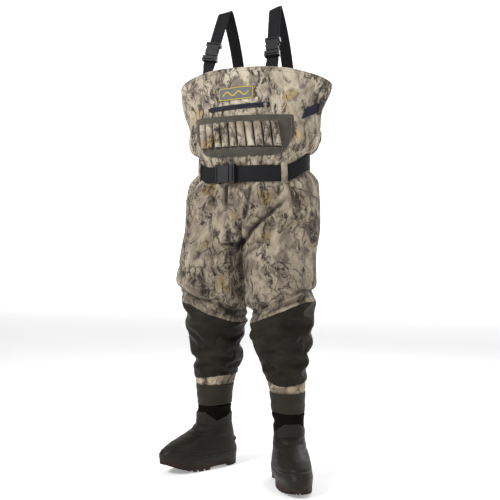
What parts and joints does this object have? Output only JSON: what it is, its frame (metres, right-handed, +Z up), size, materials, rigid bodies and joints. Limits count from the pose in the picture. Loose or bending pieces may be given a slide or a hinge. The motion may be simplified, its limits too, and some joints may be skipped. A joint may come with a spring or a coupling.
{
  "type": "chest waders",
  "caption": "Camouflage chest waders with shoulder straps, belt, chest pocket with shell loops, gathered legs and lugged rubber boot feet.",
  "frame": {"origin": "on the ground, under the middle of the garment's bounding box", "axes": "+Z up from the soles to the shoulders, the wearer's front faces -Y, the wearer's left is +X"},
  "size_m": [0.5181, 0.3922, 1.4742],
  "materials": {
    "camo_cloth": "matte woven polyester, camouflage print",
    "olive_cloth": "matte heavy woven nylon",
    "pocket_cloth": "matte woven polyester",
    "gaiter_cloth": "smooth coated cloth",
    "neoprene": "matte foam rubber",
    "boot_rubber": "satin moulded rubber",
    "sole_rubber": "matte lugged rubber",
    "insole_foam": "felted foam",
    "webbing": "woven nylon webbing",
    "tab_webbing": "woven nylon webbing",
    "buckle_plastic": "moulded acetal, fine texture",
    "badge_cloth": "woven patch, no lettering",
    "zip_cloth": "woven tape",
    "zip_metal": "die-cast, satin"
  },
  "bodies": {
    "garment": {"bib_front": "camo_cloth", "bib_back": "camo_cloth", "trouser_front_right": "camo_cloth", "trouser_front_left": "camo_cloth", "trouser_back_right": "camo_cloth", "trouser_back_left": "camo_cloth", "shin_front_right": "olive_cloth", "shin_front_left": "olive_cloth", "shin_back_right": "olive_cloth", "shin_back_left": "olive_cloth", "cuff_right": "camo_cloth", "cuff_left": "camo_cloth", "gaiter_right": "gaiter_cloth", "gaiter_left": "gaiter_cloth", "ankle_right": "neoprene", "ankle_left": "neoprene", "boot_right": "boot_rubber", "boot_left": "boot_rubber", "outsole_right": "sole_rubber", "outsole_left": "sole_rubber", "insole_right": "insole_foam", "insole_left": "insole_foam", "chest_pocket": "pocket_cloth", "shell_panel": "camo_cloth", "shell_loops": "camo_cloth", "badge": "badge_cloth", "zip_tape": "zip_cloth", "belt_webbing": "webbing", "belt_loops": "camo_cloth", "belt_female": "buckle_plastic", "strap_right": "webbing", "strap_left": "webbing", "bib_tab_right": "webbing", "bib_tab_left": "webbing", "buckle_male_right": "buckle_plastic", "buckle_male_left": "buckle_plastic", "side_tab": "tab_webbing", "side_ladder": "buckle_plastic"},
    "strap_buckle_right": {"buckle_female_right": "buckle_plastic"},
    "strap_buckle_left": {"buckle_female_left": "buckle_plastic"},
    "prong_right_outer": {"prong_right_outer": "buckle_plastic"},
    "prong_right_inner": {"prong_right_inner": "buckle_plastic"},
    "prong_left_outer": {"prong_left_outer": "buckle_plastic"},
    "prong_left_inner": {"prong_left_inner": "buckle_plastic"},
    "belt_male": {"belt_male": "buckle_plastic"},
    "belt_prong_upper": {"belt_prong_upper": "buckle_plastic"},
    "belt_prong_lower": {"belt_prong_lower": "buckle_plastic"},
    "zip_slider": {"zip_slider": "zip_metal"},
    "zip_pull": {"zip_pull": "zip_metal"}
  },
  "joints": [
    {"name": "strap_release_right", "type": "slide", "parent": "garment", "child": "strap_buckle_right", "axis": [0.1584, 0.3257, 0.9321], "range_m": [0, 0.036]},
    {"name": "strap_release_left", "type": "slide", "parent": "garment", "child": "strap_buckle_left", "axis": [-0.0613, 0.3653, 0.9289], "range_m": [0, 0.036]},
    {"name": "prong_right_outer", "type": "hinge", "parent": "garment", "child": "prong_right_outer", "pos_m": [-0.10238, -0.04578, 1.31814], "axis": [-0.0546, 0.9455, -0.3211], "range_deg": [0, 7], "stiffness_Nm_per_rad": 0.2},
    {"name": "prong_right_inner", "type": "hinge", "parent": "garment", "child": "prong_right_inner", "pos_m": [-0.07182, -0.04578, 1.31295], "axis": [0.0546, -0.9455, 0.3211], "range_deg": [0, 7], "stiffness_Nm_per_rad": 0.2},
    {"name": "prong_left_outer", "type": "hinge", "parent": "garment", "child": "prong_left_outer", "pos_m": [0.13039, -0.05368, 1.31677], "axis": [-0.024, -0.9309, 0.3646], "range_deg": [0, 7], "stiffness_Nm_per_rad": 0.2},
    {"name": "prong_left_inner", "type": "hinge", "parent": "garment", "child": "prong_left_inner", "pos_m": [0.09946, -0.05368, 1.31473], "axis": [0.024, 0.9309, -0.3646], "range_deg": [0, 7], "stiffness_Nm_per_rad": 0.2},
    {"name": "belt_release", "type": "hinge", "parent": "garment", "child": "belt_male", "pos_m": [0.0237, 0.2282, 0.945], "axis": [0, 0, 1], "range_deg": [0, 7.5]},
    {"name": "belt_prong_upper", "type": "hinge", "parent": "belt_male", "child": "belt_prong_upper", "pos_m": [-0.01577, -0.06649, 0.967], "axis": [-0.1461, -0.9893, 0], "range_deg": [0, 7], "stiffness_Nm_per_rad": 0.2},
    {"name": "belt_prong_lower", "type": "hinge", "parent": "belt_male", "child": "belt_prong_lower", "pos_m": [-0.01577, -0.06649, 0.923], "axis": [0.1461, 0.9893, 0], "range_deg": [0, 7], "stiffness_Nm_per_rad": 0.2},
    {"name": "zip_run", "type": "hinge", "parent": "garment", "child": "zip_slider", "pos_m": [0.0267, 0.3022, 1.15], "axis": [-0.0436, 0, 0.999], "range_deg": [-27, 0]},
    {"name": "zip_pull_swing", "type": "hinge", "parent": "zip_slider", "child": "zip_pull", "pos_m": [0.09901, -0.07379, 1.15366], "axis": [-0.981, -0.1891, -0.0428], "range_deg": [0, 80]}
  ]
}
